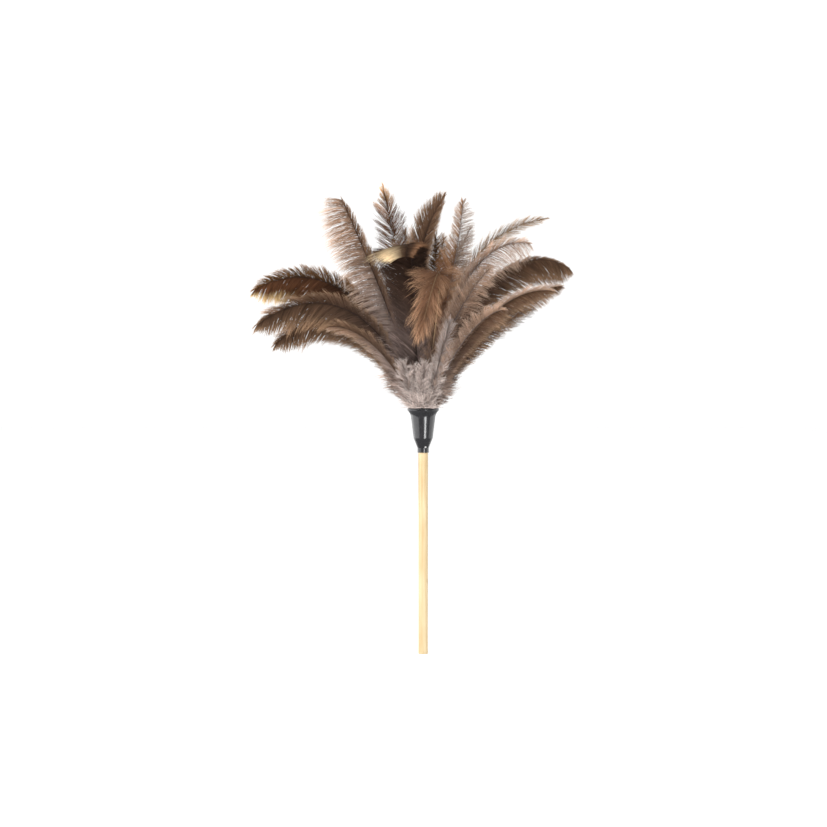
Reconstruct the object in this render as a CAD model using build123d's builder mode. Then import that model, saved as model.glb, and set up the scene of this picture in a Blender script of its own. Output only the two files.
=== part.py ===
from build123d import *
from math import cos, radians, sin
import os

# Feather duster. Millimetres, +Z up along the handle towards the feathers, front at -Y.
# The origin is the centre of the handle's flat cut end.

# Handle: a plain turned dowel. Inside the ferrule it is cut down to a seat and then to a spigot.
HANDLE_R = 6.3
SEAT_BOTTOM = 261.35
SEAT_R = 6.1
HANDLE_TOP = 271.0
BUTT_CHAMFER = 0.5
SPIGOT_R = 4.0
SPIGOT_TOP = 302.0
SPIGOT_CHAMFER = 0.8

# Ferrule: a moulded cup with a collar on the dowel, a cone, a tapered body and a flared lip.
COLLAR_BOTTOM = 261.4
COLLAR_TOP = 267.4
COLLAR_R = 7.25
SHOULDER_Z = 280.1
SHOULDER_R = 12.2
BODY_TOP = 307.5
BODY_TOP_R = 15.6
LIP_UNDER_Z = 316.0
LIP_R = 20.2
MOUTH_Z = 319.2
WALL = 1.5
GLUE_GAP = 0.05
LIP_ROUND = 1.4

# Retaining brad through the foot of the ferrule's cone into the dowel, in front and to the right.
BRAD_Z = 268.6
BRAD_AZIMUTH = 290.0
BRAD_SHANK_R = 0.6
BRAD_POINT = 1.0
BRAD_POINT_TAPER = 28
BRAD_HEAD_R = 1.3
BRAD_HEAD_THICKNESS = 0.7
BRAD_LENGTH = 6.0
BRAD_SEAT_R = COLLAR_R + 1.0
PILOT_CLEARANCE = 0.02

# Quills stand in three rings about the spigot: radius, number of quills, and where they start.
QUILL_R = 1.15
RINGS = {
    "inner": (5.6, 12, 281.0),
    "middle": (8.45, 18, 281.0),
    "outer": (11.0, 20, 294.4),
}
QUILL_TOP = 306.0

# Binding wire round the two inner rings, and the hard glue that pots all the quills.
WIRE_R = 0.4
WIRE_TURNS = 6
WIRE_START_Z = 284.2
WIRE_PITCH = 0.95
GLUE_BOTTOM = 295.5

# Vane outline: place along the shaft from quill to tip, with the share of the vane's half width.
VANE_OUTLINE = (
    (0.00, 0.00),
    (0.06, 0.00),
    (0.14, 0.12),
    (0.26, 0.38),
    (0.40, 0.70),
    (0.54, 0.92),
    (0.68, 1.00),
    (0.80, 0.92),
    (0.90, 0.66),
    (0.97, 0.34),
    (1.00, 0.12),
)
VANE_EDGE = 0.30
SHAFT_TIP = 0.45

# Feathers placed one by one: ring, place in the ring, two bend points and the tip of the shaft,
# the azimuth that the flat of the vane faces, and the vane's half width. No two vanes cross.
PLACED_FEATHERS = {
    "feather_front_tall": ("middle", 13, (-8, -22, 404), (-16, -38, 584), (-22, -106, 512), 270, 12),
    "feather_front_curled": ("middle", 14, (14, -24, 420), (40, -70, 590), (-2, -116, 424), 275, 10),
    "feather_front_right": ("middle", 15, (13, -18, 385), (44, -52, 455), (84, -56, 498), 285, 8),
    "feather_top_plume": ("middle", 12, (-14, -16, 380), (-66, -26, 500), (-104, -22, 586), 265, 11),
    "feather_top_spike": ("inner", 6, (-8, -1, 400), (-30, 0, 500), (-52, 4, 604), 270, 7),
    "feather_top_left": ("inner", 7, (-9, -8, 390), (-40, -12, 470), (-78, -10, 520), 265, 7),
    "feather_top_middle": ("inner", 8, (-3, -7, 400), (-14, -3, 480), (-24, -2, 545), 270, 6),
    "feather_top_dark": ("inner", 9, (-3, -10, 400), (-28, -12, 510), (26, -8, 590), 270, 9),
    "feather_top_wisp": ("inner", 10, (12, -8, 400), (46, -14, 500), (51, -6, 585), 272, 7),
    "feather_top_right": ("inner", 11, (8, -5, 400), (16, -4, 480), (16, -1, 540), 270, 6),
    "feather_right_long": ("middle", 0, (16, -3, 443), (53, 6, 548), (160, 30, 564), 280, 7.5),
    "feather_right_upper": ("middle", 16, (18, -12, 435), (64, -32, 540), (134, -50, 530), 285, 9),
    "feather_right_arched": ("middle", 17, (22, -6, 425), (104, -30, 545), (184, -42, 500), 290, 11),
    "feather_right_low": ("outer", 18, (16, -14, 360), (88, -48, 478), (162, -54, 470), 300, 11),
    "feather_right_outer": ("outer", 19, (16, -6, 350), (110, -22, 470), (176, -28, 476), 300, 9),
    "feather_right_under": ("outer", 0, (16, 0, 345), (74, -6, 450), (126, -14, 458), 310, 10),
    "feather_right_short": ("outer", 17, (14, -16, 350), (60, -66, 440), (100, -88, 446), 290, 9),
    "feather_left_arched": ("middle", 11, (-20, -6, 390), (-100, -16, 535), (-214, -30, 472), 258, 12),
    "feather_left_inner": ("middle", 10, (-14, -4, 378), (-60, -7, 450), (-112, -11, 450), 262, 9),
    "feather_left_back": ("middle", 9, (-14, 0, 385), (-62, 4, 465), (-118, 8, 468), 266, 9),
    "feather_left_middle": ("outer", 11, (-20, -14, 390), (-98, -38, 508), (-210, -42, 428), 250, 11),
    "feather_left_low": ("outer", 10, (-18, 2, 365), (-98, 4, 488), (-190, 2, 402), 240, 11),
    "feather_left_under": ("outer", 9, (-16, 6, 340), (-70, 26, 412), (-128, 34, 408), 230, 10),
    "feather_left_short": ("outer", 12, (-15, -14, 350), (-70, -50, 430), (-118, -62, 424), 250, 9),
    "down_tuft_side": ("outer", 13, (-9, -13, 330), (-20, -27, 352), (-27, -36, 378), 258, 4),
    "down_tuft_left": ("outer", 14, (-4, -16, 328), (-9, -28, 350), (-12, -35, 372), 265, 4),
    "down_tuft_centre": ("outer", 15, (0, -16, 328), (0, -31, 350), (1, -38, 376), 270, 4.5),
    "down_tuft_right": ("outer", 16, (6, -18, 335), (22, -42, 380), (34, -54, 432), 280, 6),
}

# The other feathers fill each ring by rule: the radius and height of the two bend points and of
# the tip, and the half width. The sides reach further out than the back, and the right is higher.
# Their vanes are turned like the blades of an iris, so that they pass behind each other.
RING_SWEEP = {
    "inner": ((9, 396), (28, 468), (56, 518), 7.5),
    "middle": ((14, 385), (60, 465), (118, 478), 12),
    "outer": ((15.5, 340), (85, 422), (152, 434), 14),
}
IRIS_TURN = 35.0
FILLED_PLACES = {
    "inner": (0, 1, 2, 3, 4, 5),
    "middle": (1, 2, 3, 4, 5, 6, 7, 8),
    "outer": (1, 2, 3, 4, 5, 6, 7, 8),
}
DEPTH_SHARE = 0.85
RIGHT_RISE = 22.0
REACH_VARIES = 0.08
HEIGHT_VARIES = 9.0


def azimuth_in_ring(ring, place):
    """Degrees from +X to a quill's place in its ring."""
    return 360 * place / RINGS[ring][1]


def quill_point(ring, place, height):
    """The point on a quill's axis at a height."""
    radius = RINGS[ring][0]
    turn = radians(azimuth_in_ring(ring, place))
    return Vector(radius * cos(turn), radius * sin(turn), height)


def swept_feather(ring, place):
    """The bend points, tip, facing azimuth and half width of a feather that fills its ring."""
    azimuth = azimuth_in_ring(ring, place)
    turn = radians(azimuth)
    first, second, end, half_width = RING_SWEEP[ring]
    reach = 1 + REACH_VARIES * sin(2.4 * place + 1)
    lift = HEIGHT_VARIES * cos(3.1 * place)
    points = []
    for share, (radius, height) in ((0.0, first), (0.5, second), (1.0, end)):
        out = radius * (1 + (reach - 1) * share)
        depth = 1 - (1 - DEPTH_SHARE) * share
        rise = share * (lift + RIGHT_RISE * cos(turn))
        points.append((out * cos(turn), depth * out * sin(turn), height + rise))
    return (*points, azimuth + IRIS_TURN, half_width)


def make_handle():
    """The dowel, with its seat and spigot and a broken edge at the cut end."""
    with BuildPart() as handle:
        with BuildSketch():
            Circle(HANDLE_R)
        extrude(amount=SEAT_BOTTOM)
        chamfer(handle.edges().sort_by(Axis.Z)[0], length=BUTT_CHAMFER)
        with BuildSketch(Plane.XY.offset(SEAT_BOTTOM)):
            Circle(SEAT_R)
        extrude(amount=HANDLE_TOP - SEAT_BOTTOM)
        with BuildSketch(Plane.XY.offset(HANDLE_TOP)):
            Circle(SPIGOT_R)
        extrude(amount=SPIGOT_TOP - HANDLE_TOP)
        chamfer(handle.edges().sort_by(Axis.Z)[-1], length=SPIGOT_CHAMFER)
        with BuildSketch(brad_plane()):
            Circle(BRAD_SHANK_R + PILOT_CLEARANCE)
        extrude(amount=-BRAD_LENGTH, mode=Mode.SUBTRACT)
    return handle.part


def brad_plane():
    """The plane under the brad's head, facing outwards at its azimuth."""
    turn = radians(BRAD_AZIMUTH)
    outward = Vector(cos(turn), sin(turn), 0)
    return Plane(origin=outward * BRAD_SEAT_R + Vector(0, 0, BRAD_Z), z_dir=outward)


def inner_radius(height):
    """The inside radius of the ferrule's tapered body at a height."""
    share = (height - SHOULDER_Z) / (BODY_TOP - SHOULDER_Z)
    return SHOULDER_R - WALL + share * (BODY_TOP_R - SHOULDER_R)


def make_ferrule():
    """The cup, turned from one closed profile: collar, cone, body, coved lip and the hollow."""
    bore_r = SEAT_R + GLUE_GAP
    with BuildPart() as ferrule:
        with BuildSketch(Plane.XZ):
            with BuildLine():
                Line((bore_r, COLLAR_BOTTOM), (COLLAR_R, COLLAR_BOTTOM))
                Line((COLLAR_R, COLLAR_BOTTOM), (COLLAR_R, COLLAR_TOP))
                Line((COLLAR_R, COLLAR_TOP), (SHOULDER_R, SHOULDER_Z))
                Line((SHOULDER_R, SHOULDER_Z), (BODY_TOP_R, BODY_TOP))
                ThreePointArc(
                    (BODY_TOP_R, BODY_TOP),
                    (BODY_TOP_R + 1.5, LIP_UNDER_Z - 4.0),
                    (LIP_R, LIP_UNDER_Z),
                )
                Line((LIP_R, LIP_UNDER_Z), (LIP_R, MOUTH_Z))
                Line((LIP_R, MOUTH_Z), (LIP_R - 2 * WALL, MOUTH_Z))
                ThreePointArc(
                    (LIP_R - 2 * WALL, MOUTH_Z),
                    (BODY_TOP_R + 0.1, LIP_UNDER_Z - 2.0),
                    (inner_radius(BODY_TOP), BODY_TOP),
                )
                Line((inner_radius(BODY_TOP), BODY_TOP), (SHOULDER_R - WALL, SHOULDER_Z))
                Line((SHOULDER_R - WALL, SHOULDER_Z), (bore_r, HANDLE_TOP))
                Line((bore_r, HANDLE_TOP), (bore_r, COLLAR_BOTTOM))
            make_face()
        revolve(axis=Axis.Z)
        lip_edges = ferrule.edges().filter_by(GeomType.CIRCLE).group_by(Axis.Z)[-1]
        fillet(lip_edges.sort_by(SortBy.RADIUS)[-1], radius=LIP_ROUND)
        shoulder = ferrule.edges().filter_by(GeomType.CIRCLE).filter_by(
            lambda edge: abs(edge.radius - SHOULDER_R) < 0.01
        )
        fillet(shoulder, radius=LIP_ROUND)
        with BuildSketch(brad_plane()):
            Circle(BRAD_SHANK_R + PILOT_CLEARANCE)
        extrude(amount=-BRAD_LENGTH, mode=Mode.SUBTRACT)
    return ferrule.part


def make_brad():
    """A small flat-headed brad with a pointed end."""
    shank = BRAD_LENGTH - BRAD_POINT
    with BuildPart() as brad:
        with BuildSketch(brad_plane()):
            Circle(BRAD_SHANK_R)
        extrude(amount=-shank)
        with BuildSketch(brad_plane().offset(-shank)):
            Circle(BRAD_SHANK_R)
        extrude(amount=-BRAD_POINT, taper=BRAD_POINT_TAPER)
        with BuildSketch(brad_plane()):
            Circle(BRAD_HEAD_R)
        extrude(amount=BRAD_HEAD_THICKNESS)
    return brad.part


def make_binding():
    """The turns of wire that hold the two inner rings of quills against each other."""
    turn_r = RINGS["middle"][0] + QUILL_R + WIRE_R
    with BuildPart() as binding:
        for turn in range(WIRE_TURNS):
            with BuildSketch(Plane.XZ):
                with Locations((turn_r, WIRE_START_Z + turn * WIRE_PITCH)):
                    Circle(WIRE_R)
            revolve(axis=Axis.Z)
    return binding.part


def make_glue():
    """The glue that fills the cup round the spigot and every quill."""
    with BuildPart() as glue:
        with BuildSketch(Plane.XZ):
            with BuildLine():
                Polyline(
                    (0, GLUE_BOTTOM),
                    (inner_radius(GLUE_BOTTOM) - GLUE_GAP, GLUE_BOTTOM),
                    (inner_radius(QUILL_TOP) - GLUE_GAP, QUILL_TOP),
                    (0, QUILL_TOP),
                    close=True,
                )
            make_face()
        revolve(axis=Axis.Z)
        with BuildSketch(Plane.XY.offset(GLUE_BOTTOM)):
            Circle(SPIGOT_R + GLUE_GAP)
        extrude(amount=SPIGOT_TOP + GLUE_GAP - GLUE_BOTTOM, mode=Mode.SUBTRACT)
        for radius, count, _ in RINGS.values():
            with BuildSketch(Plane.XY.offset(GLUE_BOTTOM)):
                with PolarLocations(radius, count):
                    Circle(QUILL_R + GLUE_GAP)
            extrude(amount=QUILL_TOP - GLUE_BOTTOM, mode=Mode.SUBTRACT)
    return glue.part


def make_feather(ring, place, first, second, tip, facing, half_width):
    """One feather: a round quill in the cup, then a ridged vane along a curved shaft."""
    start = quill_point(ring, place, QUILL_TOP)
    shaft = Bezier(start, first, second, tip)
    facing_way = Vector(cos(radians(facing)), sin(radians(facing)), 0)
    with BuildPart() as feather:
        for along, share in VANE_OUTLINE:
            forward = shaft % along
            across = forward.cross(facing_way).normalized()
            wide = max(QUILL_R * 0.87, half_width * share)
            blade = min(1.0, share * 4)
            ridge = QUILL_R + (SHAFT_TIP - QUILL_R) * along
            edge = QUILL_R * 0.5 + (VANE_EDGE - QUILL_R * 0.5) * blade
            with BuildSketch(Plane(origin=shaft @ along, x_dir=across, z_dir=forward)):
                with BuildLine():
                    Polyline(
                        (-wide, -edge),
                        (0, -ridge),
                        (wide, -edge),
                        (wide, edge),
                        (0, ridge),
                        (-wide, edge),
                        close=True,
                    )
                make_face()
        loft(ruled=True)
        with BuildSketch(Plane.XY.offset(RINGS[ring][2])):
            with Locations((start.X, start.Y)):
                Circle(QUILL_R)
        extrude(amount=QUILL_TOP + 0.5 - RINGS[ring][2])
    return feather.part


def save(part, name):
    """Labels a piece and writes its file."""
    part.label = name
    export_step(part, f"parts/{name}.step")


def main():
    os.makedirs("parts", exist_ok=True)
    save(make_handle(), "handle_dowel")
    save(make_ferrule(), "ferrule_cup")
    save(make_brad(), "retaining_brad")
    save(make_binding(), "binding_wire")
    save(make_glue(), "glue_plug")
    for name, (ring, place, *shape) in PLACED_FEATHERS.items():
        save(make_feather(ring, place, *shape), name)
    for ring, places in FILLED_PLACES.items():
        for place in places:
            name = f"feather_{ring}_{place:02d}"
            save(make_feather(ring, place, *swept_feather(ring, place)), name)


if __name__ == "__main__":
    main()
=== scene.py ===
"""Feather duster: the looks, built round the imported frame.

The handle, ferrule, brad, binding and glue keep their own meshes and get their finishes here. Every
feather is made anew as a tapered shaft with hundreds of separate barbs, along the same curve as the
plain solid that it replaces.
"""
import logging
from dataclasses import dataclass, field
from enum import Enum

import bpy
import numpy as np
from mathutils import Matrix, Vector


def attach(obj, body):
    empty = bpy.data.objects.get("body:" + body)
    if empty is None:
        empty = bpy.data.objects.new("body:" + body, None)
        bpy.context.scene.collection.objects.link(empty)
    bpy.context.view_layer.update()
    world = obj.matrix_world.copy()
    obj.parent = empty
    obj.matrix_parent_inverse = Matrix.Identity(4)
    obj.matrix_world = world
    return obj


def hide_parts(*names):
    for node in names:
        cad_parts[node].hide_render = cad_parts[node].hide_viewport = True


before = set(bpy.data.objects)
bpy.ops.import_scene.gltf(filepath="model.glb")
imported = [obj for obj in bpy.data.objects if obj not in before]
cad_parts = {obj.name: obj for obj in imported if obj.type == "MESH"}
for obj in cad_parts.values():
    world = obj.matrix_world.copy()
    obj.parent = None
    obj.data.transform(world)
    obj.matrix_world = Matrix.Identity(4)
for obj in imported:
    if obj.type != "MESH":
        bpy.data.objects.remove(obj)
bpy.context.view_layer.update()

MM = 0.001
LOG = logging.getLogger("feather_duster")

Triple = tuple[float, float, float]
Socket = bpy.types.NodeSocket
Material = bpy.types.Material
Array = np.ndarray


def linear(red: int, green: int, blue: int) -> Triple:
    """A screen colour as linear light.

    Args:
        red, green, blue: screen values from 0 to 255.

    Returns:
        The three linear values from 0 to 1, by the usual power of 2.2 with its straight foot.
    """
    value = np.array([red, green, blue]) / 255
    light = np.where(value <= 0.04045, value / 12.92, ((value + 0.055) / 1.055) ** 2.4)
    return tuple(float(x) for x in light)


def smooth_step(low: float, high: float, value: Array) -> Array:
    """0 below low, 1 above high, and the cubic 3t^2 - 2t^3 between them."""
    t = np.clip((value - low) / (high - low), 0, 1)
    return t * t * (3 - 2 * t)


def unit(vectors: Array) -> Array:
    """Vectors along the last axis, each divided by its own length."""
    return vectors / np.maximum(np.linalg.norm(vectors, axis=-1, keepdims=True), 1e-9)


# ---------------------------------------------------------------- finishes


class NodeTree:
    """A material's nodes, with short ways to add and join them."""

    def __init__(self, name: str) -> None:
        """Starts a material that holds one Principled shader.

        Args:
            name: the material's name.
        """
        self.material = bpy.data.materials.new(name)
        self.material.use_nodes = True
        self.nodes = self.material.node_tree.nodes
        self.links = self.material.node_tree.links
        self.shader = self.nodes["Principled BSDF"]

    def add(self, kind: str, **values: object) -> bpy.types.Node:
        """Adds a node.

        Args:
            kind: the node's type name.
            values: its properties, or its inputs where a name starts with a capital letter.

        Returns:
            The new node.
        """
        node = self.nodes.new(kind)
        for key, value in values.items():
            if key[0].isupper():
                node.inputs[key.replace("_", " ")].default_value = value
            else:
                setattr(node, key, value)
        return node

    def join(self, source: Socket, target: Socket) -> None:
        """Links one socket to another."""
        self.links.new(source, target)

    def set(self, **values: object) -> None:
        """Sets constants on the shader's own sockets, with _ for a space in a socket's name."""
        for key, value in values.items():
            self.shader.inputs[key.replace("_", " ")].default_value = value

    def stretched(self, scale: Triple, turn: Triple = (0, 0, 0)) -> Socket:
        """Object coordinates for a pattern with a direction.

        Args:
            scale: how much finer the pattern is along each axis.
            turn: its turn about each axis, in radians.

        Returns:
            The coordinates' socket.
        """
        place = self.add("ShaderNodeTexCoord")
        mapping = self.add("ShaderNodeMapping", Scale=scale, Rotation=turn)
        self.join(place.outputs["Object"], mapping.inputs["Vector"])
        return mapping.outputs["Vector"]

    def noise(self, where: Socket, detail: float) -> Socket:
        """A noise value.

        Args:
            where: the coordinates, which already hold the scale.
            detail: how many finer layers it has.

        Returns:
            The value's socket.
        """
        node = self.add("ShaderNodeTexNoise", Scale=1.0, Detail=detail)
        self.join(where, node.inputs["Vector"])
        return node.outputs["Fac"]

    def ramp(self, value: Socket, *stops: tuple[float, Triple]) -> Socket:
        """A colour ramp.

        Args:
            value: the number that chooses the colour.
            stops: places from 0 to 1 with their linear colours.

        Returns:
            The colour's socket.
        """
        node = self.add("ShaderNodeValToRGB")
        elements = node.color_ramp.elements
        while len(elements) < len(stops):
            elements.new(0.5)
        for element, (place, colour) in zip(elements, stops):
            element.position = place
            element.color = (*colour, 1)
        self.join(value, node.inputs["Fac"])
        return node.outputs["Color"]

    def mix(self, how: str, amount: float, first: Socket, second: Socket) -> Socket:
        """Two colours mixed.

        Args:
            how: the blend type's name.
            amount: how much of the second colour comes in, from 0 to 1.
            first: the colour underneath.
            second: the colour laid on it.

        Returns:
            The mixed colour's socket.
        """
        node = self.add("ShaderNodeMix", data_type="RGBA", blend_type=how)
        node.inputs[0].default_value = amount
        self.join(first, node.inputs[6])
        self.join(second, node.inputs[7])
        return node.outputs[2]

    def bump(self, height: Socket, strength: float, distance: float) -> None:
        """Raises the shader's surface.

        Args:
            height: a value from 0 to 1.
            strength: the share of the full effect.
            distance: the greatest height, in metres.
        """
        node = self.add("ShaderNodeBump", Strength=strength, Distance=distance)
        self.join(height, node.inputs["Height"])
        self.join(node.outputs["Normal"], self.shader.inputs["Normal"])

    def vary_roughness(self, value: Socket, low: float, high: float) -> None:
        """Lets a value move the roughness.

        Args:
            value: a number from 0 to 1.
            low: the roughness at 0.
            high: the roughness at 1.
        """
        node = self.add("ShaderNodeMapRange", To_Min=low, To_Max=high)
        self.join(value, node.inputs["Value"])
        self.join(node.outputs["Result"], self.shader.inputs["Roughness"])


@dataclass(frozen=True)
class BareWood:
    """Pale sanded dowel: long grain, slanting lighter and darker patches, and a few faint specks.

    grain, patches and specks are how fine each pattern is along each axis, in cycles per metre.
    """

    light: Triple = linear(210, 190, 152)
    dark: Triple = linear(196, 172, 130)
    speck: Triple = linear(196, 158, 104)
    patch_shade: Triple = (0.86, 0.80, 0.70)
    grain: Triple = (420, 420, 14)
    patches: Triple = (30, 30, 16)
    patch_turn: Triple = (0.0, 0.55, 0.0)
    specks: Triple = (160, 160, 60)
    roughness: tuple[float, float] = (0.62, 0.42)
    grain_height: float = 0.0002

    def material(self) -> Material:
        """Builds the wood.

        Returns:
            The wood's material.
        """
        tree = NodeTree("bare_wood")
        grain = tree.noise(tree.stretched(self.grain), 4.0)
        patch = tree.noise(tree.stretched(self.patches, self.patch_turn), 2.0)
        specks = tree.noise(tree.stretched(self.specks), 1.0)
        grain_colour = tree.ramp(grain, (0.35, self.dark), (0.62, self.light))
        patch_colour = tree.ramp(patch, (0.38, self.patch_shade), (0.60, (1, 1, 1)))
        speck_colour = tree.ramp(specks, (0.70, (1, 1, 1)), (0.78, self.speck))
        colour = tree.mix("MULTIPLY", 0.75, grain_colour, patch_colour)
        tree.join(tree.mix("MULTIPLY", 0.45, colour, speck_colour), tree.shader.inputs["Base Color"])
        tree.vary_roughness(grain, *self.roughness)
        tree.bump(grain, 0.18, self.grain_height)
        tree.set(Specular_IOR_Level=0.35)
        return tree.material


@dataclass(frozen=True)
class MouldedBlack:
    """Glossy black moulding with faint flow waviness and handling marks."""

    deep: Triple = (0.010, 0.010, 0.012)
    worn: Triple = (0.022, 0.021, 0.024)
    flow: Triple = (90, 90, 45)
    marks: Triple = (700, 700, 160)
    marks_turn: Triple = (0.4, 0.0, 0.3)
    roughness: tuple[float, float] = (0.19, 0.25)
    flow_height: float = 0.0004

    def material(self) -> Material:
        """Builds the plastic.

        Returns:
            The plastic's material.
        """
        tree = NodeTree("moulded_black")
        flow = tree.noise(tree.stretched(self.flow), 2.0)
        marks = tree.noise(tree.stretched(self.marks, self.marks_turn), 5.0)
        tree.join(tree.ramp(marks, (0.45, self.deep), (0.75, self.worn)), tree.shader.inputs["Base Color"])
        tree.vary_roughness(marks, *self.roughness)
        tree.bump(flow, 0.03, self.flow_height)
        tree.set(Specular_IOR_Level=0.55, Coat_Weight=0.30, Coat_Roughness=0.12)
        return tree.material


@dataclass(frozen=True)
class Steel:
    """Drawn or stamped steel with fine streaks."""

    name: str
    colour: Triple
    roughness: float
    streaks: Triple = (900, 900, 2500)
    dulling: float = 0.7
    streak_height: float = 0.00005

    def material(self) -> Material:
        """Builds the metal.

        Returns:
            The metal's material.
        """
        tree = NodeTree(self.name)
        streaks = tree.noise(tree.stretched(self.streaks), 3.0)
        dull = tuple(self.dulling * c for c in self.colour)
        tree.join(tree.ramp(streaks, (0.3, dull), (0.7, self.colour)), tree.shader.inputs["Base Color"])
        tree.vary_roughness(streaks, self.roughness, self.roughness + 0.2)
        tree.bump(streaks, 0.1, self.streak_height)
        tree.set(Metallic=1.0)
        return tree.material


@dataclass(frozen=True)
class AmberGlue:
    """Hard brown glue with a slightly uneven, cloudy surface."""

    clear: Triple = linear(176, 132, 74)
    cloudy: Triple = linear(206, 176, 124)
    cloud: Triple = (260, 260, 260)
    roughness: tuple[float, float] = (0.2, 0.45)
    cloud_height: float = 0.0005

    def material(self) -> Material:
        """Builds the glue.

        Returns:
            The glue's material.
        """
        tree = NodeTree("amber_glue")
        cloud = tree.noise(tree.stretched(self.cloud), 3.0)
        tree.join(tree.ramp(cloud, (0.35, self.clear), (0.7, self.cloudy)), tree.shader.inputs["Base Color"])
        tree.vary_roughness(cloud, *self.roughness)
        tree.bump(cloud, 0.4, self.cloud_height)
        return tree.material


@dataclass(frozen=True)
class Keratin:
    """What feathers are made of. Its colour comes from the piece's own colour attribute.

    fleck is how much darker the darkest flecks are.
    """

    name: str
    low_roughness: float
    high_roughness: float
    fleck: float
    flecks: Triple = (1500, 1500, 1500)

    def material(self) -> Material:
        """Builds the feather finish: painted colour with fine darker flecks.

        Returns:
            The finish's material.
        """
        tree = NodeTree(self.name)
        paint = tree.add("ShaderNodeAttribute", attribute_name="feather_colour")
        fine = tree.noise(tree.stretched(self.flecks), 2.0)
        flecks = tree.ramp(fine, (0.30, (1 - self.fleck,) * 3), (0.70, (1, 1, 1)))
        colour = tree.mix("MULTIPLY", 1.0, paint.outputs["Color"], flecks)
        tree.join(colour, tree.shader.inputs["Base Color"])
        tree.vary_roughness(fine, self.low_roughness, self.high_roughness)
        tree.set(Specular_IOR_Level=0.06)
        return tree.material


# ---------------------------------------------------------------- tubes

POINT_SHARE = 0.08  # the last ring's share of a tube's radius
STRIP_MARGIN = 0.15  # bare share at each side of a tube's strip of the flat map
END_MARGIN = 0.01  # bare share at each end of a strip
SHAFT_STRIP = 0.03  # the shaft's share of the flat map's width


@dataclass
class Grid:
    """Tubes as one set of corners and faces, with colours and a flat map."""

    corners: Array
    quads: Array
    triangles: Array
    colours: Array
    flat: Array


def tube_grid(centre: Array, radius: Array, side: Array, colour: Array, sides: int, flatness: float) -> Grid:
    """Closed tapered tubes round many paths at once.

    A corner is centre + r (cos a side + flatness sin a thick), where a goes once round and thick is
    square to the path and to side. Each tube's last ring is nearly a point, and both ends are capped.

    Args:
        centre: (tubes, rings, 3) points along the paths.
        radius: (tubes, rings) half widths.
        side: (tubes, rings, 3) unit width directions.
        colour: (tubes, rings, 3) linear colours.
        sides: how many corners a ring has.
        flatness: thickness over width.

    Returns:
        The tubes as one Grid, with each tube in its own strip of the flat map.
    """
    tubes, rings = radius.shape
    run = unit(np.gradient(centre, axis=1))
    side = unit(side - (side * run).sum(-1, keepdims=True) * run)
    thick = np.cross(run, side)
    turn = 2 * np.pi * np.arange(sides) / sides
    size = radius.copy()
    size[:, -1] *= POINT_SHARE
    offset = np.cos(turn)[:, None] * side[:, :, None]
    offset = offset + flatness * np.sin(turn)[:, None] * thick[:, :, None]
    corners = centre[:, :, None] + size[:, :, None, None] * offset
    index = np.arange(tubes * rings * sides).reshape(tubes, rings, sides)
    ahead = np.roll(index, -1, axis=2)
    quads = np.stack([index[:, :-1], ahead[:, :-1], ahead[:, 1:], index[:, 1:]], axis=-1)
    fan = np.arange(1, sides - 1)
    caps = []
    for ring, left, right in ((index[:, 0], fan + 1, fan), (index[:, -1], fan, fan + 1)):
        hub = np.broadcast_to(ring[:, :1], (tubes, sides - 2))
        caps.append(np.stack([hub, ring[:, left], ring[:, right]], axis=-1).reshape(-1, 3))
    paint = np.broadcast_to(colour[:, :, None], corners.shape)
    round_share = STRIP_MARGIN + (1 - 2 * STRIP_MARGIN) * np.abs(turn - np.pi) / np.pi
    strip = np.broadcast_to((np.arange(tubes)[:, None, None] + round_share) / tubes, index.shape)
    height = np.linspace(END_MARGIN, 1 - END_MARGIN, rings)[None, :, None]
    flat = np.stack([np.broadcast_to(height, index.shape), strip], axis=-1)
    return Grid(
        corners=corners.reshape(-1, 3),
        quads=quads.reshape(-1, 4),
        triangles=np.concatenate(caps),
        colours=paint.reshape(-1, 3),
        flat=flat.reshape(-1, 2),
    )


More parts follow.
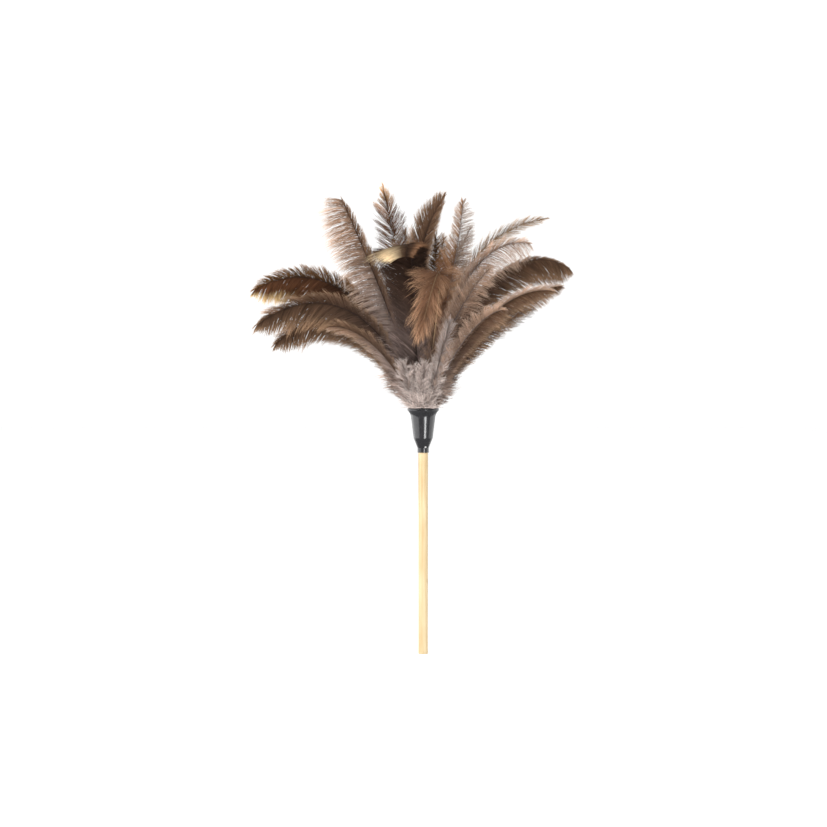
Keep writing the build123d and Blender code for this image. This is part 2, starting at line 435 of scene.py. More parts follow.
def mesh_object(name: str, grids: list[Grid], finishes: list[Material]) -> bpy.types.Object:
    """Joins a feather's barbs and shaft into one mesh object.

    Args:
        name: the object's name.
        grids: the barbs and the shaft. The shaft takes the right edge of the flat map.
        finishes: a material for each grid.

    Returns:
        The object, linked to the scene at the origin.
    """
    offsets = np.concatenate([[0], np.cumsum([len(g.corners) for g in grids])])
    corners = np.concatenate([g.corners for g in grids])
    quads = np.concatenate([g.quads + o for g, o in zip(grids, offsets)])
    triangles = np.concatenate([g.triangles + o for g, o in zip(grids, offsets)])
    order = np.arange(len(grids))
    slots = np.concatenate([
        np.repeat(order, [len(g.quads) for g in grids]), np.repeat(order, [len(g.triangles) for g in grids])
    ])
    loops = np.concatenate([quads.ravel(), triangles.ravel()]).astype(np.int32)
    sizes = np.concatenate([np.full(len(quads), 4), np.full(len(triangles), 3)])
    starts = np.concatenate([[0], np.cumsum(sizes)[:-1]])
    mesh = bpy.data.meshes.new(name)
    mesh.vertices.add(len(corners))
    mesh.vertices.foreach_set("co", corners.astype(np.float32).ravel())
    mesh.loops.add(len(loops))
    mesh.loops.foreach_set("vertex_index", loops)
    mesh.polygons.add(len(sizes))
    mesh.polygons.foreach_set("loop_start", starts.astype(np.int32))
    mesh.polygons.foreach_set("material_index", slots.astype(np.int32))
    mesh.update(calc_edges=True)
    mesh.shade_smooth()
    paint = mesh.color_attributes.new("feather_colour", "FLOAT_COLOR", "POINT")
    colour = np.concatenate([g.colours for g in grids])
    colour = np.column_stack([colour, np.ones(len(colour))])
    paint.data.foreach_set("color", colour.astype(np.float32).ravel())
    shares, lefts = (1 - SHAFT_STRIP, SHAFT_STRIP), (0.0, 1 - SHAFT_STRIP)
    flat = np.concatenate(
        [g.flat * [share, 1.0] + [left, 0.0] for g, share, left in zip(grids, shares, lefts)]
    )
    layer = mesh.uv_layers.new(name="OFBake")
    layer.data.foreach_set("uv", flat[loops].astype(np.float32).ravel())
    for finish in finishes:
        mesh.materials.append(finish)
    piece = bpy.data.objects.new(name, mesh)
    bpy.context.scene.collection.objects.link(piece)
    return piece


# ---------------------------------------------------------------- feathers


@dataclass(frozen=True)
class Plumage:
    """The colours of one kind of vane, from the grey down at its base to the tips of its barbs.

    rim_from is the place along a barb where its tip's colour begins, and rim_starts the place along
    the shaft where barbs begin to have it. middle_comes and outer_comes are the stretches of the
    shaft where those colours come in. A barb's root is darkened by painted shade, down to the share
    shaded at the shaft and fading out by shade_ends.
    """

    down: tuple[int, int, int]
    middle: tuple[int, int, int]
    outer: tuple[int, int, int]
    rim: tuple[int, int, int]
    rim_from: float = 0.55
    rim_starts: float = 0.0
    rim_fades: float = 0.16
    middle_comes: tuple[float, float] = (0.12, 0.46)
    outer_comes: tuple[float, float] = (0.48, 0.82)
    shaded: float = 0.55
    shade_ends: float = 0.42

    def at(self, along: Array, out: Array) -> Array:
        """The colour of a point on a barb.

        Args:
            along: where the barb leaves the shaft, 0 at the cup and 1 at the tip.
            out: how far along the barb the point is, 0 at the shaft and 1 at its tip.

        Returns:
            Linear colours, with one more axis than the arguments: down, middle and outer blended
            along the shaft, the rim towards the barb's end, and painted shade darkening it close to the
            shaft.
        """
        down, middle, outer, rim = (
            np.array(linear(*colour)) for colour in (self.down, self.middle, self.outer, self.rim)
        )
        colour = down + (middle - down) * smooth_step(*self.middle_comes, along)[..., None]
        colour = colour + (outer - colour) * smooth_step(*self.outer_comes, along)[..., None]
        edge = smooth_step(self.rim_from, 1.0, out)
        edge = edge * smooth_step(self.rim_starts, self.rim_starts + self.rim_fades, along)
        # painted shade: each barb's root is darkened towards the shaft, where the crowded barbs would shadow
        # it
        painted_root_shade = self.shaded + (1 - self.shaded) * smooth_step(0.0, self.shade_ends, out)
        return (colour + (rim - colour) * edge[..., None]) * painted_root_shade[..., None]


class Plume(Enum):
    """The colours found in the head."""

    DARK = Plumage((140, 122, 114), (70, 50, 40), (64, 44, 32), (104, 74, 50), 0.60, 0.5)
    CREAM_EDGED = Plumage((124, 108, 102), (74, 56, 47), (70, 49, 36), (255, 228, 184), 0.10, 0.70)
    ROLLED_BROWN = Plumage((124, 108, 102), (58, 44, 38), (60, 43, 32), (150, 112, 84), 0.30, 0.70)
    LILAC = Plumage((172, 154, 147), (162, 143, 133), (166, 135, 113), (214, 186, 164), 0.50, 0.4)
    GOLDEN = Plumage((140, 120, 108), (94, 69, 52), (108, 77, 50), (156, 114, 72), 0.62, 0.3)
    CREAM_TIPPED = Plumage((132, 112, 102), (54, 38, 30), (92, 60, 40), (255, 220, 160), 0.62, 0.74)
    ORANGE = Plumage((144, 120, 104), (116, 86, 68), (136, 100, 76), (192, 152, 120), 0.42, 0.3)
    WISP = Plumage((176, 158, 148), (160, 138, 122), (168, 146, 130), (200, 180, 166), 0.60, 0.3)
    STRIPED = Plumage((154, 124, 104), (144, 98, 66), (162, 126, 98), (194, 162, 136), 0.66, 0.6)
    SPIKE = Plumage((146, 126, 114), (112, 80, 62), (104, 72, 52), (255, 206, 150), 0.0, 0.84)
    OLIVE = Plumage((172, 152, 136), (156, 128, 104), (156, 127, 100), (200, 172, 142), 0.52, 0.3)
    PINK = Plumage((188, 168, 156), (182, 152, 133), (184, 152, 129), (220, 192, 170), 0.52, 0.3)
    UMBER = Plumage((158, 140, 130), (108, 85, 71), (114, 87, 68), (168, 138, 112), 0.52, 0.2)
    # UMBER darkened as painted shade, for the draping vanes at the sides of the head
    UMBER_PAINTED_SHADE = Plumage((150, 132, 122), (82, 63, 52), (92, 69, 53), (158, 127, 100), 0.46, 0.2)
    DOWN = Plumage((196, 181, 174), (192, 177, 170), (188, 171, 163), (230, 217, 210), 0.35, 0.0)


@dataclass(frozen=True)
class Vane:
    """How the barbs on one side of a feather grow and hang.

    angles and outline are given at six even stations from the base to the tip: degrees from the
    shaft, and the share of the full reach. sweep, curl and hang bend a barb towards the tip, out of
    the face and down, as shares of its length. clump is a clump's width along the shaft, and cling
    how far its barbs lean to their leader. loose multiplies the disorder. half_width is half of a
    barb's width, and tip how far the last barbs close towards the shaft, from 0 to 1. Millimetres.
    """

    angles: tuple[float, ...]
    outline: tuple[float, ...]
    sweep: float
    curl: float
    hang: float
    clump: float
    cling: float
    loose: float
    half_width: float
    tip: float

    def station(self, values: tuple[float, ...], along: Array) -> Array:
        """Values between the six stations."""
        return np.interp(along, np.linspace(0, 1, len(values)), values)


class Habit(Enum):
    """The ways that a vane can grow."""

    ROLLED = Vane(
        angles=(24, 38, 42, 54, 86, 92), outline=(0.40, 0.75, 0.90, 0.96, 0.94, 0.40),
        sweep=0.02, curl=0.15, hang=0.12, clump=1.6, cling=0.26, loose=0.60, half_width=0.46, tip=0.0,
    )
    SLEEK = Vane(
        angles=(16, 20, 26, 32, 32, 20), outline=(0.30, 0.50, 0.85, 1.0, 0.95, 0.40),
        sweep=0.06, curl=0.10, hang=0.02, clump=1.2, cling=0.22, loose=0.60, half_width=0.44, tip=1.0,
    )
    DRAPE = Vane(
        angles=(18, 26, 38, 46, 50, 44), outline=(0.28, 0.44, 0.85, 1.0, 0.90, 0.45),
        sweep=0.08, curl=0.12, hang=0.40, clump=1.1, cling=0.12, loose=0.62, half_width=0.60, tip=1.0,
    )
    BRUSH = Vane(
        angles=(18, 26, 42, 52, 54, 44), outline=(0.28, 0.42, 0.78, 1.0, 0.90, 0.50),
        sweep=0.08, curl=0.14, hang=0.16, clump=3.2, cling=0.50, loose=1.05, half_width=0.30, tip=1.0,
    )
    PLUME = Vane(
        angles=(18, 26, 54, 72, 76, 70), outline=(0.26, 0.40, 0.80, 1.0, 1.0, 0.80),
        sweep=-0.04, curl=0.10, hang=0.20, clump=2.2, cling=0.36, loose=1.00, half_width=0.38, tip=0.5,
    )
    FRINGE = Vane(
        angles=(16, 24, 38, 50, 52, 46), outline=(0.26, 0.42, 0.80, 1.0, 0.85, 0.45),
        sweep=0.05, curl=0.14, hang=0.46, clump=3.2, cling=0.55, loose=1.15, half_width=0.24, tip=1.0,
    )
    HUG = Vane(
        angles=(14, 18, 24, 28, 30, 24), outline=(0.36, 0.50, 0.80, 0.95, 0.85, 0.40),
        sweep=0.05, curl=0.12, hang=0.08, clump=3.0, cling=0.50, loose=1.00, half_width=0.25, tip=1.0,
    )
    STRIPE = Vane(
        angles=(18, 26, 36, 40, 46, 50), outline=(0.28, 0.50, 0.95, 1.0, 0.45, 0.30),
        sweep=0.04, curl=0.08, hang=0.04, clump=2.6, cling=0.60, loose=0.60, half_width=0.28, tip=1.0,
    )
    SPARSE = Vane(
        angles=(18, 26, 44, 60, 64, 56), outline=(0.26, 0.42, 0.70, 0.85, 0.75, 0.40),
        sweep=0.02, curl=0.12, hang=0.10, clump=5.0, cling=0.84, loose=1.10, half_width=0.23, tip=1.0,
    )
    MOP = Vane(
        angles=(16, 22, 44, 64, 46, 26), outline=(0.26, 0.40, 0.72, 0.92, 0.86, 0.72),
        sweep=0.10, curl=0.08, hang=0.14, clump=3.4, cling=0.62, loose=1.45, half_width=0.25, tip=0.8,
    )
    SPIKE = Vane(
        angles=(18, 26, 40, 46, 44, 16), outline=(0.28, 0.45, 0.80, 1.0, 1.0, 0.35),
        sweep=0.06, curl=0.08, hang=0.04, clump=3.2, cling=0.60, loose=0.85, half_width=0.25, tip=1.0,
    )
    TUFT = Vane(
        angles=(34, 38, 40, 38, 34, 28), outline=(0.55, 0.80, 1.0, 1.0, 0.9, 0.7),
        sweep=0.06, curl=0.30, hang=0.02, clump=2.4, cling=0.52, loose=2.60, half_width=0.24, tip=1.0,
    )


@dataclass(frozen=True)
class Side:
    """One side of a feather: its colours, the way that its barbs grow, and their full reach in mm."""

    plume: Plume
    habit: Habit
    reach: float


@dataclass(frozen=True)
class Growth:
    """How place and chance act on every barb, whatever its vane.

    Spans are places along the shaft, from 0 at the cup to 1 at the tip. A spread multiplies random
    numbers with a deviation of 1: a barb's own and its clump's, which both grow in the downy base.
    Angles in degrees, and lengths in millimetres or as shares of the barb.
    """

    fewest: int = 24
    shaft_share: float = 0.96
    bare_foot: float = 0.045
    jitter: float = 0.002
    own: float = 0.42
    shared: float = 0.34
    downy_gain: float = 1.1
    downy_span: tuple[float, float] = (0.10, 0.42)
    tip_span: tuple[float, float] = (0.93, 1.0)
    tip_closes: float = 0.65
    tip_shortens: float = 0.4
    skirt_rises: tuple[float, float] = (0.02, 0.13)
    skirt_fades: tuple[float, float] = (0.13, 0.32)
    skirt_angle: float = 9.0
    skirt_reach: float = 0.42
    angle_spread: float = 9.0
    reach_spread: float = 0.20
    reach_loss: float = 0.10
    reach_limits: tuple[float, float] = (0.35, 1.3)
    face_spread: float = 0.16
    sweep_spread: float = 0.07
    curl_spread: float = 0.16
    hold: float = 0.55
    hold_spread: float = 0.45
    hold_power: float = 1.3
    wave_turns: float = 1.1
    wave_size: float = 0.055
    lip_span: tuple[float, float] = (13.0, 17.0)
    lip_gap: float = 0.6
    lip_loft: float = 1.8
    twist: float = 0.5
    tip_width: float = 0.32
    taper_power: float = 0.8
    own_tone: float = 0.14
    shared_tone: float = 0.17


@dataclass
class Feather:
    """One feather: its node, the curve of its shaft, the way it faces and its two vanes.

    points are the shaft's four control points, and facing is the compass turn of its face in
    degrees, from x towards y. left and right are as seen from the face with the tip up. spacing is
    the distance between barbs, skirt how far the down at the foot spreads, and lip the height of
    the ferrule's lip. Lengths in millimetres.
    """

    node: str
    points: Array
    facing: float
    left: Side
    right: Side
    shaft_colour: tuple[int, int, int]
    spacing: float
    skirt: float
    seed: int
    quill_bottom: float
    growth: Growth = Growth()
    lip: float = 319.2
    rings: int = 6
    sides: int = 3
    flatness: float = 0.40
    shaft_sides: int = 8
    shaft_rings: int = 40
    shaft_radius: float = 1.12
    shaft_taper: float = 0.90
    taper_power: float = 0.7
    pale_foot: tuple[float, float] = (0.05, 0.4)
    fine: int = 400

    def shaft(self, along: Array) -> tuple[Array, Array]:
        """The shaft's cubic curve.

        Args:
            along: places along the curve from 0 to 1.

        Returns:
            Points in metres and unit directions: the four control points weighted by the cubic
            Bernstein polynomials, and that curve's derivative.
        """
        t = along[..., None]
        a, b, c, d = self.points * MM
        point = (1 - t) ** 3 * a + 3 * (1 - t) ** 2 * t * b + 3 * (1 - t) * t**2 * c + t**3 * d
        slope = (1 - t) ** 2 * (b - a) + 2 * (1 - t) * t * (c - b) + t**2 * (d - c)
        return point, unit(slope)

    def even(self, count: int) -> Array:
        """Places along the curve that are evenly spaced by length.

        Args:
            count: how many places.

        Returns:
            The places, from 0 to 1: the summed lengths of short steps, read backwards.
        """
        steps = np.linspace(0, 1, self.fine)
        point, _ = self.shaft(steps)
        length = np.concatenate([[0], np.cumsum(np.linalg.norm(np.diff(point, axis=0), axis=1))])
        return np.interp(np.linspace(0, length[-1], count), length, steps)

    def length(self) -> float:
        """The shaft's length above the glue, in millimetres."""
        point, _ = self.shaft(np.linspace(0, 1, self.fine))
        return float(np.linalg.norm(np.diff(point, axis=0), axis=1).sum() / MM)

    def frame(self, along: Array) -> tuple[Array, Array, Array, Array]:
        """The shaft's own directions at places along it.

        The root's across direction is carried along by the smallest turn that takes the root's
        direction ahead to the one at each place, so that it stays steady where the shaft curls.

        Args:
            along: places along the curve from 0 to 1.

        Returns:
            Points, and the unit directions ahead, across to the right, and out of the face.
        """
        point, ahead = self.shaft(along)
        _, first = self.shaft(np.zeros(1))
        turn = np.radians(self.facing)
        start = unit(np.cross(first[0], [np.cos(turn), np.sin(turn), 0.0]))
        lean = (ahead @ start) / np.maximum(1 + ahead @ first[0], 1e-3)
        across = unit(start - lean[:, None] * (first[0] + ahead))
        return point, ahead, across, np.cross(across, ahead)

    def barbs(self, side: Side, hand: int, random: np.random.Generator) -> tuple[Array, Array, Array, Array]:
        """Grows the barbs on one side of the shaft.

        Each barb starts at the vane's angle to the shaft and follows root + L(v d + v^2 b): d is its
        first direction, and b bends it towards the tip, out of the face and down under its weight.
        Barbs of one clump lean to their leader by a share that grows with v, so that the vane
        splits between clumps. A barb that would hang below the ferrule's lip lies on it.

        Args:
            side: the colours and growth of this side.
            hand: 1 for the right side, -1 for the left.
            random: the feather's own random numbers.

        Returns:
            The barbs' points, half widths, unit width directions and colours, by barb and ring.
        """
        grow, vane = self.growth, side.habit.value
        count = max(grow.fewest, int(self.length() * grow.shaft_share / self.spacing))
        place = grow.bare_foot + (1 - grow.bare_foot) * self.even(count)
        place = np.clip(place + random.uniform(-grow.jitter, grow.jitter, count), 0, 1)
        clump = np.cumsum(random.uniform(0, 1, count) < self.spacing / vane.clump)
        leader = (np.searchsorted(clump, clump) + np.searchsorted(clump, clump, side="right") - 1) // 2
        own = random.normal(0, 1, (5, count))
        shared = random.normal(0, 1, (5, clump.max() + 1))[:, clump]
        downy = 1 + grow.downy_gain * (1 - smooth_step(*grow.downy_span, place))
        wander = (grow.own * own + grow.shared * shared) * vane.loose * downy

        point, ahead, across, normal = self.frame(place)
        close = vane.tip * smooth_step(*grow.tip_span, place)
        base = self.skirt * smooth_step(*grow.skirt_rises, place)
        base = base * (1 - smooth_step(*grow.skirt_fades, place))
        angle = vane.station(vane.angles, place) * (1 - grow.tip_closes * close)
        angle = np.radians(angle + grow.skirt_angle * base + grow.angle_spread * wander[0])
        reach = vane.station(vane.outline, place) + grow.skirt_reach * base
        chance = 1 + grow.reach_spread * wander[1] - grow.reach_loss * np.abs(own[4])
        size = side.reach * MM * reach * (1 - grow.tip_shortens * close)
        size = (size * np.clip(chance, *grow.reach_limits))[:, None, None]

        v = np.linspace(0, 1, self.rings)[None, :, None]
        start = np.cos(angle)[:, None] * ahead + hand * np.sin(angle)[:, None] * across
        start = start + grow.face_spread * wander[2][:, None] * normal
        bend = (vane.sweep + grow.sweep_spread * wander[3])[:, None] * ahead
        bend = bend + (vane.curl + grow.curl_spread * wander[4])[:, None] * normal
        bend[:, 2] -= vane.hang
        path = point[:, None] + size * (v * start[:, None] + v**2 * bend[:, None])
        hold = vane.cling * (grow.hold + grow.hold_spread * np.tanh(shared[0]))
        hold = hold[:, None, None] * v**grow.hold_power
        path = path * (1 - hold) + path[leader] * hold
        wave = np.sin(2 * np.pi * (grow.wave_turns * v + random.uniform(0, 1, (count, 1, 1)))) * v * size
        wave = wave * (grow.wave_size * vane.loose * downy)[:, None, None]
        path = path + wave * unit(random.normal(0, 1, (count, 1, 3)))
        low, high = (edge * MM for edge in grow.lip_span)
        outside = smooth_step(low, high, np.hypot(path[..., 0], path[..., 1]))
        rest = (self.lip + grow.lip_gap + grow.lip_loft * random.uniform(0, 1, (count, 1))) * MM
        path[..., 2] += outside * np.maximum(rest - path[..., 2], 0)

        twist = grow.twist * vane.loose * random.normal(0, 1, (count, 1, 3))
        wide = unit(np.cross(unit(np.gradient(path, axis=1)), normal[:, None] + twist))
        taper = grow.tip_width + (1 - grow.tip_width) * (1 - v[..., 0]) ** grow.taper_power
        radius = np.repeat(taper * vane.half_width * MM, count, axis=0)
        tone = np.exp(grow.own_tone * own[1] + grow.shared_tone * shared[1] * downy)[:, None, None]
        along = np.broadcast_to(place[:, None], radius.shape)
        out = np.broadcast_to(v[..., 0], radius.shape)
        return path, radius, wide, side.plume.value.at(along, out) * tone

    def build(self, barb_finish: Material, shaft_finish: Material) -> bpy.types.Object:
        """Makes the feather's mesh.

        Args:
            barb_finish: the material of the barbs.
            shaft_finish: the material of the shaft and quill.

        Returns:
            The object, which replaces the feather's node and rides on the body.
        """
        random = np.random.default_rng(self.seed)
        both = self.barbs(self.left, -1, random), self.barbs(self.right, 1, random)
        barbs = tube_grid(*(np.concatenate(pair) for pair in zip(*both)), self.sides, self.flatness)
        piece = mesh_object(self.node + "_plume", [barbs, self.shaft_grid()], [barb_finish, shaft_finish])
        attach(piece, "root")
        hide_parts(self.node)
        return piece

    def shaft_grid(self) -> Grid:
        """The quill and shaft: one tapered tube from inside the cup to the feather's tip.

        Returns:
            The tube, whose radius falls with a power of the place along the shaft.
        """
        place = self.even(self.shaft_rings)
        point, _, across, _ = self.frame(place)
        root = point[0].copy()
        root[2] = self.quill_bottom * MM
        centre = np.concatenate([root[None], point])[None]
        side = np.concatenate([across[:1], across])[None]
        radius = self.shaft_radius - self.shaft_taper * np.append(0, place**self.taper_power)
        pale, dark = np.array(linear(*self.left.plume.value.down)), np.array(linear(*self.shaft_colour))
        share = np.append(0, smooth_step(*self.pale_foot, place))[None, :, None]
        colour = pale + (dark - pale) * share
        return tube_grid(centre, radius[None] * MM, side, colour, self.shaft_sides, 1.0)


# ---------------------------------------------------------------- the head


@dataclass
class FeatherHead:
    """All the feathers, in three rings round the spigot. Millimetres, as the frame was drawn.

    rings gives each ring's radius, its number of quills and the height of their feet. sweeps gives
    the radius and height of the three control points of a feather that fills its ring, and the
    share of the full reach that its vanes have.
    """

    glue_top: float = 306.0
    rings: dict[str, tuple[float, int, float]] = field(
        default_factory=lambda: {
            "inner": (5.6, 12, 281.0),
            "middle": (8.45, 18, 281.0),
            "outer": (11.0, 20, 294.4),
        }
    )
    sweeps: dict[str, tuple] = field(
        default_factory=lambda: {
            "inner": ((9, 396), (28, 468), (56, 518), 0.75),
            "middle": ((14, 385), (60, 465), (118, 478), 0.85),
            "outer": ((15.5, 340), (85, 422), (152, 434), 0.9),
        }
    )
    skirt: dict[str, float] = field(
        default_factory=lambda: {"inner": 0.0, "middle": 0.5, "outer": 1.45}
    )
    iris_turn: float = 35.0
    depth_share: float = 0.85
    right_rise: float = 22.0
    uneven_reach: float = 0.08
    uneven_rise: float = 9.0
    fill_reach: float = 38.0
    fill_spacing: float = 0.58
    fill_shaft: tuple[int, int, int] = (76, 56, 44)
    placed_seed: int = 40
    fill_seed: int = 100

    def root(self, ring: str, place: int) -> Triple:
        """Where a quill leaves the glue.

        Args:
            ring: the ring's name.
            place: the quill's number in the ring, counted from x towards y.

        Returns:
            The point.
        """
        radius, count, _ = self.rings[ring]
        turn = 2 * np.pi * place / count
        return (radius * np.cos(turn), radius * np.sin(turn), self.glue_top)

    def placed(self) -> list[Feather]:
        """The feathers that have a place of their own: the front, the outline and the down.

        Each row gives a feather's node, its ring and place in it, the last three control points of
        its shaft, the way it faces, its left and right vanes, its shaft's colour and its barbs'
        spacing.

        Returns:
            The feathers.
        """
        plume, habit, side = Plume, Habit, Side
        near_black, brown, grey, tan = (52, 40, 36), (84, 66, 54), (112, 100, 96), (140, 116, 88)
        umber_brush = side(plume.UMBER, habit.BRUSH, 34)
        pink_brush = side(plume.PINK, habit.BRUSH, 30)
        cream_rolled = side(plume.CREAM_EDGED, habit.ROLLED, 62)
        brown_rolled = side(plume.ROLLED_BROWN, habit.ROLLED, 28)
        cream_drape = side(plume.CREAM_TIPPED, habit.DRAPE, 38)
        tuft = side(plume.DOWN, habit.TUFT, 17)
        rows = [
            ("feather_front_tall", "middle", 13, (-8, -22, 404), (-16, -38, 584), (-22, -106, 512), 270,
             cream_rolled, brown_rolled, near_black, 0.19),
            ("feather_front_curled", "middle", 14, (14, -24, 420), (40, -70, 590), (-2, -116, 424), 275,
             side(plume.ORANGE, habit.MOP, 46), side(plume.ORANGE, habit.MOP, 38), tan, 0.26),
            ("feather_front_right", "middle", 15, (13, -18, 385), (44, -52, 455), (84, -56, 498), 285,
             pink_brush, side(plume.PINK, habit.FRINGE, 28), grey, 0.40),
            ("feather_top_plume", "middle", 12, (-14, -16, 380), (-66, -26, 500), (-104, -22, 586), 265,
             side(plume.LILAC, habit.PLUME, 42), side(plume.UMBER, habit.HUG, 24), near_black, 0.22),
            ("feather_top_spike", "inner", 6, (-8, -1, 400), (-30, 0, 500), (-52, 4, 604), 270,
             side(plume.SPIKE, habit.SPIKE, 32), side(plume.SPIKE, habit.SPIKE, 32), brown, 0.28),
            ("feather_top_left", "inner", 7, (-9, -8, 390), (-40, -12, 470), (-78, -10, 520), 265,
             side(plume.UMBER, habit.BRUSH, 40), side(plume.UMBER, habit.BRUSH, 36), brown, 0.36),
            ("feather_top_middle", "inner", 8, (-3, -7, 400), (-14, -3, 480), (-24, -2, 545), 270,
             umber_brush, side(plume.GOLDEN, habit.BRUSH, 30), brown, 0.50),
            ("feather_top_dark", "inner", 9, (-3, -10, 400), (-28, -12, 510), (26, -8, 590), 270,
             side(plume.UMBER, habit.SLEEK, 40), side(plume.UMBER, habit.SLEEK, 26), near_black, 0.22),
            ("feather_top_wisp", "inner", 10, (12, -8, 400), (46, -14, 500), (51, -6, 585), 272,
             side(plume.STRIPED, habit.STRIPE, 42), side(plume.WISP, habit.SPARSE, 34), grey, 0.32),
            ("feather_top_right", "inner", 11, (8, -5, 400), (16, -4, 480), (16, -1, 540), 270,
             side(plume.GOLDEN, habit.BRUSH, 34), side(plume.GOLDEN, habit.BRUSH, 34), brown, 0.34),
            ("feather_right_long", "middle", 0, (16, -3, 443), (53, 6, 548), (160, 30, 564), 280,
             side(plume.OLIVE, habit.HUG, 26), side(plume.OLIVE, habit.HUG, 24), tan, 0.50),
            ("feather_right_upper", "middle", 16, (18, -12, 435), (64, -32, 540), (134, -50, 530), 285,
             side(plume.PINK, habit.HUG, 30), side(plume.PINK, habit.FRINGE, 38), grey, 0.34),
            ("feather_right_arched", "middle", 17, (22, -6, 425), (104, -30, 545), (184, -42, 500), 290,
             side(plume.UMBER, habit.HUG, 16), side(plume.UMBER_PAINTED_SHADE, habit.DRAPE, 38), near_black, 0.20),
            ("feather_right_low", "outer", 18, (16, -14, 360), (88, -48, 478), (162, -54, 470), 300,
             side(plume.PINK, habit.HUG, 30), side(plume.UMBER, habit.DRAPE, 22), near_black, 0.28),
            ("feather_right_outer", "outer", 19, (16, -6, 350), (110, -22, 470), (176, -28, 476), 300,
             side(plume.PINK, habit.HUG, 28), side(plume.UMBER_PAINTED_SHADE, habit.DRAPE, 22), brown, 0.38),
            ("feather_right_under", "outer", 0, (16, 0, 345), (74, -6, 450), (126, -14, 458), 310,
             side(plume.PINK, habit.HUG, 26), side(plume.UMBER, habit.HUG, 22), brown, 0.50),
            ("feather_right_short", "outer", 17, (14, -16, 350), (60, -66, 440), (100, -88, 446), 290,
             pink_brush, side(plume.UMBER, habit.FRINGE, 28), grey, 0.36),
            ("feather_left_arched", "middle", 11, (-20, -6, 390), (-100, -16, 535), (-214, -30, 472), 258,
             cream_drape, side(plume.GOLDEN, habit.BRUSH, 28), near_black, 0.19),
            ("feather_left_inner", "middle", 10, (-14, -4, 378), (-60, -7, 450), (-112, -11, 450), 262,
             side(plume.DARK, habit.DRAPE, 40), umber_brush, brown, 0.40),
            ("feather_left_back", "middle", 9, (-14, 0, 385), (-62, 4, 465), (-118, 8, 468), 266,
             side(plume.DARK, habit.DRAPE, 40), umber_brush, brown, 0.46),
            ("feather_left_middle", "outer", 11, (-20, -14, 390), (-98, -38, 508), (-210, -42, 428), 250,
             side(plume.UMBER_PAINTED_SHADE, habit.DRAPE, 38), side(plume.UMBER, habit.BRUSH, 30), near_black, 0.22),
            ("feather_left_low", "outer", 10, (-18, 2, 365), (-98, 4, 488), (-190, 2, 402), 240,
             side(plume.UMBER_PAINTED_SHADE, habit.DRAPE, 32), side(plume.UMBER, habit.BRUSH, 30), near_black, 0.24),
            ("feather_left_under", "outer", 9, (-16, 6, 340), (-70, 26, 412), (-128, 34, 408), 230,
             side(plume.WISP, habit.HUG, 22), side(plume.WISP, habit.HUG, 26), grey, 0.50),
            ("feather_left_short", "outer", 12, (-15, -14, 350), (-70, -50, 430), (-118, -62, 424), 250,
             side(plume.LILAC, habit.HUG, 28), side(plume.UMBER, habit.HUG, 30), brown, 0.40),
            ("down_tuft_side", "outer", 13, (-9, -13, 330), (-20, -27, 352), (-27, -36, 378), 258,
             tuft, tuft, grey, 0.20),
            ("down_tuft_left", "outer", 14, (-4, -16, 328), (-9, -28, 350), (-12, -35, 372), 265,
             tuft, tuft, grey, 0.20),
            ("down_tuft_centre", "outer", 15, (0, -16, 328), (0, -31, 350), (1, -38, 376), 270,
             tuft, tuft, grey, 0.20),
            ("down_tuft_right", "outer", 16, (6, -18, 335), (22, -42, 380), (34, -54, 432), 280,
             tuft, tuft, grey, 0.20),
        ]
        return [
            Feather(
                node, np.array([self.root(ring, place), *points], float), facing, left, right, shaft, spacing,
                self.skirt[ring], self.placed_seed + number, self.rings[ring][2],
            )
            for number, (node, ring, place, *points, facing, left, right, shaft, spacing) in enumerate(rows)
        ]

    def swept(self, ring: str, place: int, number: int) -> Feather:
        """A feather that fills its ring by rule, turned like the blade of an iris.

        Args:
            ring: the ring's name.
            place: its number in the ring.
            number: what sets its random numbers apart from those of the others.

        Returns:
            The feather. Its reach and rise follow slow sines of its place, so that no two are alike.
        """
        azimuth = 360 * place / self.rings[ring][1]
        turn = np.radians(azimuth)
        *stations, width = self.sweeps[ring]
        reach = self.uneven_reach * np.sin(2.4 * place + 1)
        lift = self.uneven_rise * np.cos(3.1 * place) + self.right_rise * np.cos(turn)
        points = [self.root(ring, place)]
        for share, (radius, height) in zip((0.0, 0.5, 1.0), stations):
            out = radius * (1 + reach * share)
            depth = 1 - (1 - self.depth_share) * share
            points.append((out * np.cos(turn), depth * out * np.sin(turn), height + share * lift))
        plumes = (Plume.UMBER, Plume.PINK, Plume.DARK, Plume.GOLDEN, Plume.OLIVE)
        plume = plumes[(2 * place + len(ring)) % len(plumes)]
        side = Side(plume, Habit.HUG if ring == "outer" else Habit.BRUSH, self.fill_reach * width)
        return Feather(
            f"feather_{ring}_{place:02d}", np.array(points, float), azimuth + self.iris_turn, side, side,
            self.fill_shaft, self.fill_spacing, self.skirt[ring], self.fill_seed + number,
            self.rings[ring][2],
        )

    def build(self) -> list[bpy.types.Object]:
        """Makes every feather.

        Returns:
            The feathers' objects.
        """
        barb_finish = Keratin("feather_barbs", 0.62, 0.85, 0.22).material()
        shaft_finish = Keratin("feather_shaft", 0.25, 0.45, 0.15).material()
        places = [("inner", range(6)), ("middle", range(1, 9)), ("outer", range(1, 9))]
        filled = [
            self.swept(ring, place, 20 * len(ring) + place) for ring, each in places for place in each
        ]
        pieces = []
        for feather in self.placed() + filled:
            piece = feather.build(barb_finish, shaft_finish)
            pieces.append(piece)
            LOG.info("%s: %d faces", piece.name, len(piece.data.polygons))
        return pieces


# ---------------------------------------------------------------- handle and ferrule


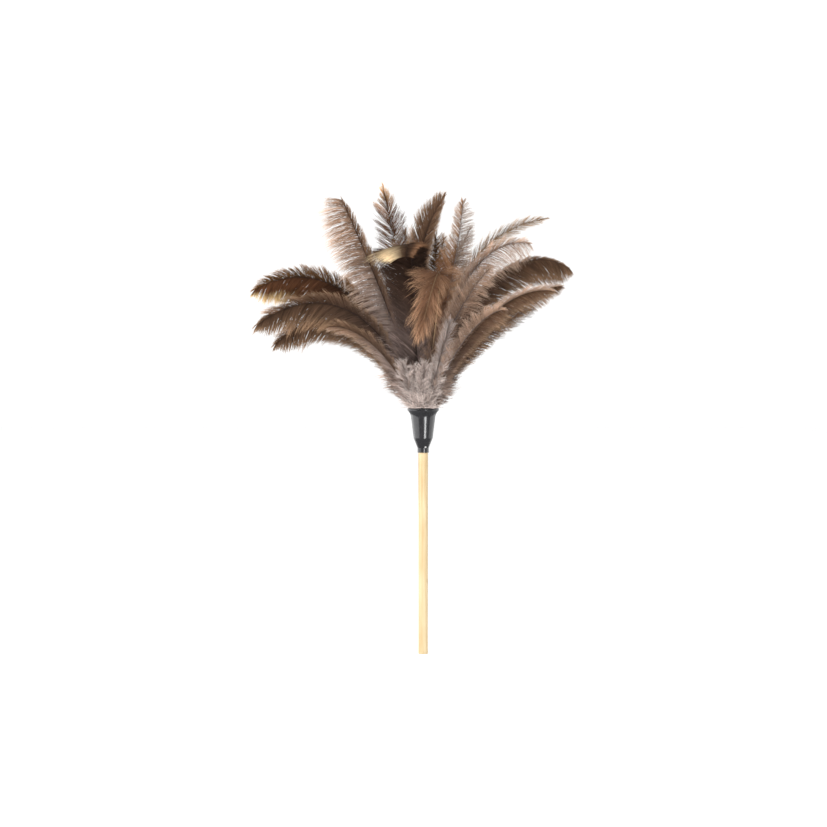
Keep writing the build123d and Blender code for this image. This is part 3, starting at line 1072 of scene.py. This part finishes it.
class Hardware:
    """The hard pieces, which keep the frame's meshes and take their finishes here."""

    def dress(self, node: str, finish: Material) -> None:
        """Gives a node's object a finish.

        Args:
            node: the node's name.
            finish: its material.
        """
        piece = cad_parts[node]
        piece.data.materials.clear()
        piece.data.materials.append(finish)
        LOG.info("dressed %s", node)

    def build(self) -> None:
        """Dresses the dowel, cup, brad, binding and glue."""
        self.dress("handle_dowel", BareWood().material())
        self.dress("ferrule_cup", MouldedBlack().material())
        self.dress("retaining_brad", Steel("bright_steel", (0.62, 0.61, 0.60), 0.22).material())
        self.dress("binding_wire", Steel("dull_steel", (0.36, 0.35, 0.34), 0.42).material())
        self.dress("glue_plug", AmberGlue().material())


# ---------------------------------------------------------------- studio


@dataclass(frozen=True)
class Lamp:
    """A rectangular soft light: its place and size in metres, and its watts.

    mirror says whether it is only seen mirrored in gloss.
    """

    name: str
    place: Triple
    size: tuple[float, float]
    power: float
    mirror: bool = False


@dataclass
class Studio:
    """A plain pale floor, soft light and the camera. Metres."""

    width_seen: float = 1.0685
    distance: float = 3.2
    elevation: float = 2.5
    aim: Triple = (-0.0125, 0.0, 0.3118)
    sensor: float = 36.0
    far: float = 50.0
    floor_half: float = 6.0
    floor_white: float = 0.98
    surrounding: float = 1.06
    mirrored: float = 0.42
    lamps_aim: Triple = (0.0, 0.0, 0.38)
    lamps: tuple[Lamp, ...] = (
        Lamp("key_light", (-1.3, -2.0, 2.0), (0.8, 0.8), 70.0),
        Lamp("strip_light", (0.265, -0.65, 0.115), (0.21, 0.26), 2.2, mirror=True),
        Lamp("left_panel", (-1.2, 0.15, 0.05), (3.0, 0.60), 10.5, mirror=True),
        Lamp("right_panel", (1.2, 0.4, 0.05), (2.0, 0.60), 4.5, mirror=True),
        Lamp("back_light", (0.6, 2.0, 1.6), (1.4, 1.0), 25.0),
    )

    def floor(self) -> None:
        """A wide pale floor under the butt end."""
        half = self.floor_half
        mesh = bpy.data.meshes.new("studio_floor")
        mesh.from_pydata(
            [(-half, -half, 0), (half, -half, 0), (half, half, 0), (-half, half, 0)], [], [(0, 1, 2, 3)]
        )
        tree = NodeTree("studio_white")
        tree.set(Base_Color=(*[self.floor_white] * 3, 1), Roughness=0.9)
        mesh.materials.append(tree.material)
        floor = bpy.data.objects.new("studio_floor", mesh)
        bpy.context.scene.collection.objects.link(floor)
        floor.visible_glossy = False

    def world(self) -> None:
        """An even white surrounding that mirrors as a darker room, so that gloss shows its lights."""
        world = bpy.data.worlds.new("studio_world")
        world.use_nodes = True
        nodes, links = world.node_tree.nodes, world.node_tree.links
        rays = nodes.new("ShaderNodeLightPath")
        strength = nodes.new("ShaderNodeMapRange")
        strength.inputs["To Min"].default_value = self.surrounding
        strength.inputs["To Max"].default_value = self.mirrored
        links.new(rays.outputs["Is Glossy Ray"], strength.inputs["Value"])
        background = nodes["Background"]
        background.inputs["Color"].default_value = (1, 1, 1, 1)
        links.new(strength.outputs["Result"], background.inputs["Strength"])
        bpy.context.scene.world = world

    def light(self, lamp: Lamp) -> None:
        """Adds a lamp that looks at the foot of the head.

        Args:
            lamp: its sizes and place.
        """
        data = bpy.data.lights.new(lamp.name, "AREA")
        data.shape = "RECTANGLE"
        data.size, data.size_y = lamp.size
        data.energy = lamp.power
        body = bpy.data.objects.new(lamp.name, data)
        body.location = lamp.place
        body.visible_diffuse = not lamp.mirror
        body.rotation_mode = "QUATERNION"
        body.rotation_quaternion = (Vector(self.lamps_aim) - Vector(lamp.place)).to_track_quat("-Z", "Y")
        bpy.context.scene.collection.objects.link(body)

    def camera(self) -> None:
        """A long lens, nearly level, a little above the middle of the duster."""
        data = bpy.data.cameras.new("camera")
        data.sensor_width = self.sensor
        data.lens = self.sensor * self.distance / self.width_seen
        data.clip_end = self.far
        camera = bpy.data.objects.new("camera", data)
        rise = np.radians(self.elevation)
        back = Vector((0, -float(np.cos(rise)), float(np.sin(rise))))
        camera.location = Vector(self.aim) + back * self.distance
        camera.rotation_mode = "QUATERNION"
        camera.rotation_quaternion = (-back).to_track_quat("-Z", "Y")
        bpy.context.scene.collection.objects.link(camera)
        bpy.context.scene.camera = camera

    def build(self) -> None:
        """Sets the floor, surroundings, lights and camera."""
        self.floor()
        self.world()
        for lamp in self.lamps:
            self.light(lamp)
        self.camera()
        bpy.context.scene.view_settings.view_transform = "Standard"


def main() -> None:
    """Builds the sub-assemblies in order and notes the size of the finished model."""
    logging.basicConfig(level=logging.INFO, format="%(name)s: %(message)s")
    Hardware().build()
    pieces = FeatherHead().build()
    LOG.info("%d feathers, %d faces", len(pieces), sum(len(p.data.polygons) for p in pieces))
    Studio().build()


if __name__ == "__main__":
    main()
